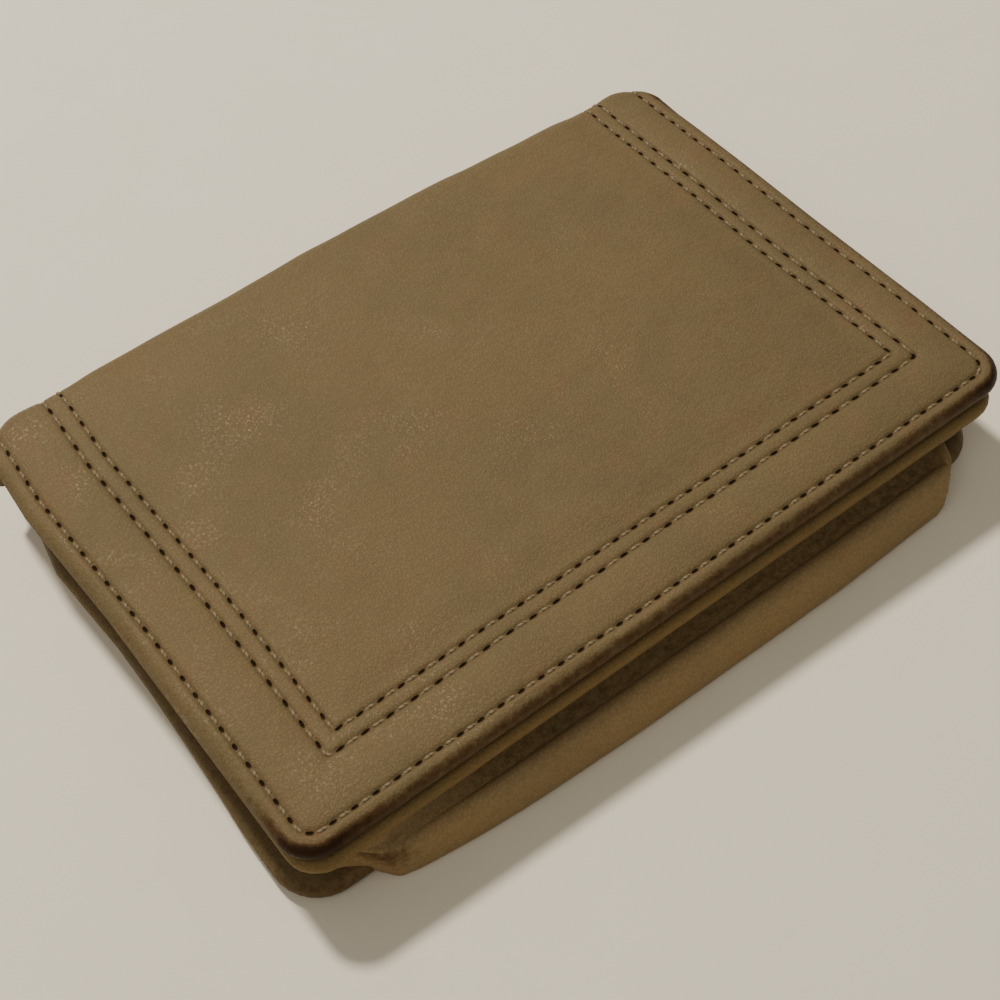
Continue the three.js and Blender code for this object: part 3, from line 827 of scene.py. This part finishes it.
def gusset_strip():
    line = u_line(-SIDE, SIDE, EDGE, MOUTH, 5.0, 90, 14, 300)
    ahead = np.gradient(line, axis=0)
    ahead /= np.linalg.norm(ahead, axis=1)[:, None]
    outward = np.stack([ahead[:, 1], -ahead[:, 0]], axis=1)
    length = distances(line)
    x, y = line[:, 0], line[:, 1]
    # How much of the front's shape there is: it comes in slowly on the left and at once,
    # as an upright fold, on the right.
    left_turn = length[90]
    right_turn = length[-1] - left_turn
    part = np.linspace(0, 1, 13)
    right_end = np.interp(part, [0, 0.5, 1], [46.3, 44.9, 40.6])
    comes_in = ease(x, -49.5, -42.5) * (y < 0)
    front = comes_in[:, None] * ease(x[:, None], right_end + 1.8, right_end - 1.4)
    reach = np.interp(x, [-47, -45.2, -43.3, -40.9, -38.4, -33.2, -27.7, -22, -10, 9, 22, 29.5,
                          36.9, 41.3, 44, 48],
                      [-0.4, 0.2, 1.5, 2.1, 2.5, 3.2, 3.7, 4.0, 4.4, 4.5, 4.5, 4.2, 3.9, 3.7,
                       3.5, 3.0]) / 4.5
    firm = ease(x, -46, -24)[:, None, None]  # the crest is a clear fold only further along
    fold_in = 4 + 6 * ease(y, EDGE + 5, EDGE + 20)
    pinched = (ease(y, 40, 34) * (x < 0) * ease(x, 0, -40))[:, None, None]

    zero = np.zeros(len(line))
    folded = np.stack([np.stack([zero + o - k * fold_in, zero + z], axis=-1) for o, z, k in (
        (-2.4, WALL_LOW - 0.35, 0), (-3.4, 8.7, 0.1), (-2.2, 8.1, 0.4), (-1, 7.4, 0.75),
        (-0.2, 6.9, 0.95), (0, 6.5, 1), (0, 6.1, 1), (0, 5.7, 1), (-0.2, 5.3, 0.95),
        (-1, 5.1, 0.75), (-2.2, 4.75, 0.4), (-3.2, 4.45, 0.1), (-2.6, 4.2, 0))], axis=1)
    closed = np.array([(-2.2, 9.15), (-2.1, 8.5), (-2.2, 7.8), (-2.5, 7.2), (-3.1, 6.8),
                       (-3.9, 6.6), (-4.3, 6.4), (-3.9, 6.2), (-3.1, 5.95), (-2.6, 5.5),
                       (-2.4, 5.0), (-2.5, 4.5), (-3.0, 4.2)])
    side = folded + (closed - folded) * pinched
    sharp = np.array([(-1.9, 9.15), (-2.8, 8.1), (-3.5, 6.8), (-2.9, 5.6), (-1.2, 4.9),
                      (0.5, 5.1), (1.4, 6.0), (2.2, 6.25), (3.1, 5.5), (3.8, 3.7),
                      (4.2, 1.7), (3.6, 0.4), (0.3, 0.55)])
    slack = np.array([(-1.9, 9.15), (-1.6, 8.2), (-1.5, 7.3), (-1.3, 6.4), (-0.8, 5.7),
                      (0.1, 5.35), (1.0, 5.15), (2.1, 4.6), (3.0, 3.7), (3.7, 2.6),
                      (4.15, 1.3), (3.6, 0.4), (0.3, 0.55)])
    roll = slack + (sharp - slack) * firm
    outward_part = roll[..., 0]
    roll[..., 0] = np.where(outward_part > 0, outward_part * reach[:, None], outward_part)
    knots = side + (roll - side) * front[..., None]
    steps = 60
    section = smooth_line(knots, steps)
    share = np.linspace(0, 1, steps)

    # Creases: upright ones under the wall's edge, and a few slanting ones over the roll.
    draw = np.random.default_rng(7)
    push = np.zeros((len(line), steps))
    for _ in range(46):
        at, wide = draw.uniform(left_turn, right_turn), draw.uniform(0.35, 1.1)
        middle, tall = draw.uniform(0.08, 0.3), draw.uniform(0.05, 0.12)
        slant, deep = draw.uniform(-22, 22), draw.uniform(0.06, 0.22)
        away = (length[:, None] - at - slant * (share - middle)) / wide
        push -= deep * np.exp(-away ** 2 - ((share - middle) / tall) ** 2)
    for _ in range(14):
        at, wide = draw.uniform(left_turn, right_turn), draw.uniform(1.5, 4)
        slant, deep = draw.uniform(-12, 12), draw.uniform(-0.1, 0.14)
        away = (length[:, None] - at - slant * (share - 0.65)) / wide
        push -= deep * np.exp(-away ** 2 - ((share - 0.65) / 0.2) ** 2)
    push *= ease(x, -48, -44)[:, None] * ease(x, 46, 42)[:, None] * (y[:, None] < 0)

    middle_face = np.empty((len(line), steps, 3))
    middle_face[..., :2] = line[:, None, :] + outward[:, None, :] * section[..., :1]
    middle_face[..., 2] = section[..., 1]
    middle_face = settle(middle_face.reshape(-1, 3)).reshape(middle_face.shape)
    along = np.gradient(middle_face, axis=0)
    down = np.gradient(middle_face, axis=1)
    normal = np.cross(along, down)
    normal /= np.linalg.norm(normal, axis=2)[..., None] + 1e-9
    # Outwards is positive: at the front the normal should point to -Y.
    if normal[len(line) // 2, steps // 3, 1] > 0:
        normal = -normal
    outer = middle_face + normal * (GUSSET / 2 + push[..., None])
    inner = middle_face - normal * (GUSSET / 2 - 0.5 * push[..., None])
    points = np.concatenate([outer.reshape(-1, 3), inner.reshape(-1, 3)])
    count, half = len(line), len(line) * steps
    faces = strips(0, count, steps) + strips(half, count, steps)
    for k in range(count - 1):
        for s in (0, steps - 1):
            a = k * steps + s
            faces.append([a, a + steps, a + steps + half, a + half])
    for s in range(steps - 1):
        for k in (0, (count - 1) * steps):
            faces.append([k + s, k + s + 1, k + s + 1 + half, k + s + half])
    run = np.concatenate([np.zeros((count, 1)),
                          np.cumsum(np.linalg.norm(np.diff(section, axis=1), axis=2), axis=1)], 1)
    hide = np.stack([np.repeat(length, steps), run.ravel(), np.zeros(half)], axis=1)
    stain = np.exp(-((length[:, None] - left_turn - 13) / 4) ** 2 - ((share - 0.6) / 0.2) ** 2)
    # Painted shade: along the front, the recess under the wall's edge and behind the crest is darkened
    # through the same attribute as the stain.
    recess_shade = (comes_in * ease(x, 45, 42))[:, None] * firm[..., 0] * np.exp(-((share - 0.36) / 0.14) ** 2)
    wear = (0.45 * stain + 0.3 * recess_shade).ravel()
    return piece("gusset_strip", points, faces, hide=np.tile(hide, (2, 1)),
                 seam=np.full((2 * half, 3), 9.0), inset=np.full(2 * half, 9.0),
                 wear=np.tile(wear, 2))


GUSSET_HIDE = cowhide("cowhide_soft_brown", "#8B744E", "#85704D", "#8E7049", "#412810",
                      rough=0.65, bump=0.00007)
finish_piece(gusset_strip(), GUSSET_HIDE, "gusset_leather", "gusset_bottom", "gusset_left",
             "gusset_right",
             bend={"a": "back", "b": "front_wall", "start": (0, 0, 0.00415), "end": (-0.0000334, 0, 0.0084)})

# --- Snap -----------------------------------------------------------------------------
# A brass press stud, aged brown: a cap and socket in the flap, a stud and its post plate
# in the wall. Spun and pressed from sheet, so every part is round.


def aged_brass(name):
    """Stamped brass with a thin brown patina: duller in patches, still a yellow metal."""
    made = bpy.data.materials.new(name)
    made.use_nodes = True
    tree = made.node_tree
    tree.nodes.clear()
    place = add(tree, "TexCoord", (), out="Object")
    patina = add(tree, "TexNoise", {"Vector": place, "Scale": 500.0, "Detail": 4.0})
    share = add(tree, "MapRange", (patina, 0.4, 0.65, 0.0, 1.0), **SOFT)
    colour = add(tree, "Mix", {0: share, 6: linear("#B48A44"), 7: linear("#7A5A2C")}, out=2,
                 data_type="RGBA")
    rough = add(tree, "MapRange", (patina, 0.35, 0.7, 0.28, 0.45), **SOFT)
    shader = add(tree, "BsdfPrincipled", {"Base Color": colour, "Metallic": 1.0,
                                          "Roughness": rough})
    tree.links.new(shader, tree.nodes.new("ShaderNodeOutputMaterial").inputs[0])
    return made


BRASS = aged_brass("aged_brass")
DROP = 1 - SAG / HEIGHT * (SIDE - SNAP[0]) / (2 * SIDE)  # how the heights settle there


def turned_part(name, node, body, profile, level):
    """A round part from (radius, height) pairs, in millimetres from its own level."""
    sides = 64
    points, faces = [], []
    for r, z in profile:
        a = np.arange(sides) * 2 * math.pi / sides
        points += np.column_stack([SNAP[0] + r * np.cos(a), SNAP[1] + r * np.sin(a),
                                   np.full(sides, level * DROP + z)]).tolist()
    faces += strips(0, len(profile), sides, closed=True)
    if profile[0][0] > 0.01 and profile[0] != profile[-1]:
        faces.append(list(range(sides)))
        faces.append(list(range((len(profile) - 1) * sides, len(profile) * sides)))
    made = piece(name, points, faces)
    shape = bmesh.new()
    shape.from_mesh(made.data)
    bmesh.ops.remove_doubles(shape, verts=shape.verts, dist=1e-7)
    bmesh.ops.recalc_face_normals(shape, faces=shape.faces)
    shape.to_mesh(made.data)
    shape.free()
    finish_piece(made, BRASS, "snap_brass", node, body=body)


cap = [(0.001, 0), (5.9, 0), (6.2, 0.15), (6.2, 0.3), (5.9, 0.45), (0.001, 0.55)]
turned_part("snap_cap_disc", "snap_cap", "flap", cap, span("snap_cap")[0][2])
socket = [(2.4, 0), (2.7, -0.12), (3.6, -0.16), (4.6, 0.0), (4.9, 0.3), (5.4, 0.42),
          (5.9, 0.5), (5.9, 0.7), (4.9, 0.85), (4.4, 1.2), (2.9, 1.2), (2.4, 0.9), (2.4, 0)]
turned_part("snap_socket_ring", "snap_socket", "flap", socket, span("snap_socket")[0][2])
stud = [(0.001, -0.1), (4.1, -0.1), (4.4, 0.0), (4.35, 0.16), (3.9, 0.24), (2.0, 0.24),
        (1.75, 0.35), (1.7, 0.5), (1.95, 0.7), (1.95, 0.85), (1.7, 1.02), (0.001, 1.08)]
turned_part("snap_stud_ball", "snap_stud", "front_wall", stud, WALL_TOP)
post = [(0.001, -0.3), (4.5, -0.3), (4.8, -0.15), (4.7, 0.02), (1.3, 0.05), (1.3, 2.3),
        (0.001, 2.3)]
turned_part("snap_post_plate", "snap_post", "front_wall", post, span("snap_post")[0][2] + 0.3)

# --- Studio ---------------------------------------------------------------------------
# A pale matt table, a small key light high behind the spine, and soft light all round.


def table_paper(name):
    """Matt warm-white card, with the faintest tooth."""
    made = bpy.data.materials.new(name)
    made.use_nodes = True
    tree = made.node_tree
    tree.nodes.clear()
    place = add(tree, "TexCoord", (), out="Object")
    tooth = add(tree, "TexNoise", {"Vector": place, "Scale": 900.0, "Detail": 4.0})
    shade = add(tree, "TexNoise", {"Vector": place, "Scale": 90.0, "Detail": 3.0})
    colour = add(tree, "Mix", {0: shade, 6: linear("#DACDB2"), 7: linear("#E0D3B9")}, out=2,
                 data_type="RGBA")
    bumped = add(tree, "Bump", {"Height": tooth, "Strength": 0.15, "Distance": 0.0001})
    shader = add(tree, "BsdfPrincipled", {"Base Color": colour, "Normal": bumped,
                                          "Roughness": 0.8, "IOR": 1.45})
    tree.links.new(shader, tree.nodes.new("ShaderNodeOutputMaterial").inputs[0])
    return made


bpy.ops.mesh.primitive_plane_add(size=4, location=(0, 0, 0))
table = bpy.context.object
table.name = "table"
table.data.materials.append(table_paper("matt_card"))

for name, toward, away, size, power in (
        ("key", (-0.03, 0.53, 0.85), 0.8, 0.09, 7.3),
        ("fill", (-0.5, -0.3, 0.8), 1.2, 0.8, 2.5)):
    light = bpy.data.lights.new(name, "AREA")
    light.energy, light.size, light.shape = power, size, "DISK"
    lamp = bpy.data.objects.new(name, light)
    aim = Vector(toward).normalized()
    lamp.location = aim * away
    lamp.rotation_euler = (-aim).to_track_quat("-Z", "Y").to_euler()
    bpy.context.scene.collection.objects.link(lamp)

world = bpy.data.worlds.new("studio")
world.use_nodes = True
world.node_tree.nodes["Background"].inputs[0].default_value = linear("#F4F3F0")
world.node_tree.nodes["Background"].inputs[1].default_value = 0.37
bpy.context.scene.world = world

lens = bpy.data.cameras.new("camera")
lens.lens, lens.sensor_width = 63.26, 36
camera = bpy.data.objects.new("camera", lens)
camera.location = Vector((-77.98, -117.93, 186.48)) * MM
look = Vector((-8.21, -11.1, 15.0)) * MM - camera.location
turn = look.to_track_quat("-Z", "Y").to_matrix() @ Matrix.Rotation(math.radians(-4.78), 3, "Z")
camera.rotation_euler = turn.to_euler()
bpy.context.scene.collection.objects.link(camera)
bpy.context.scene.camera = camera
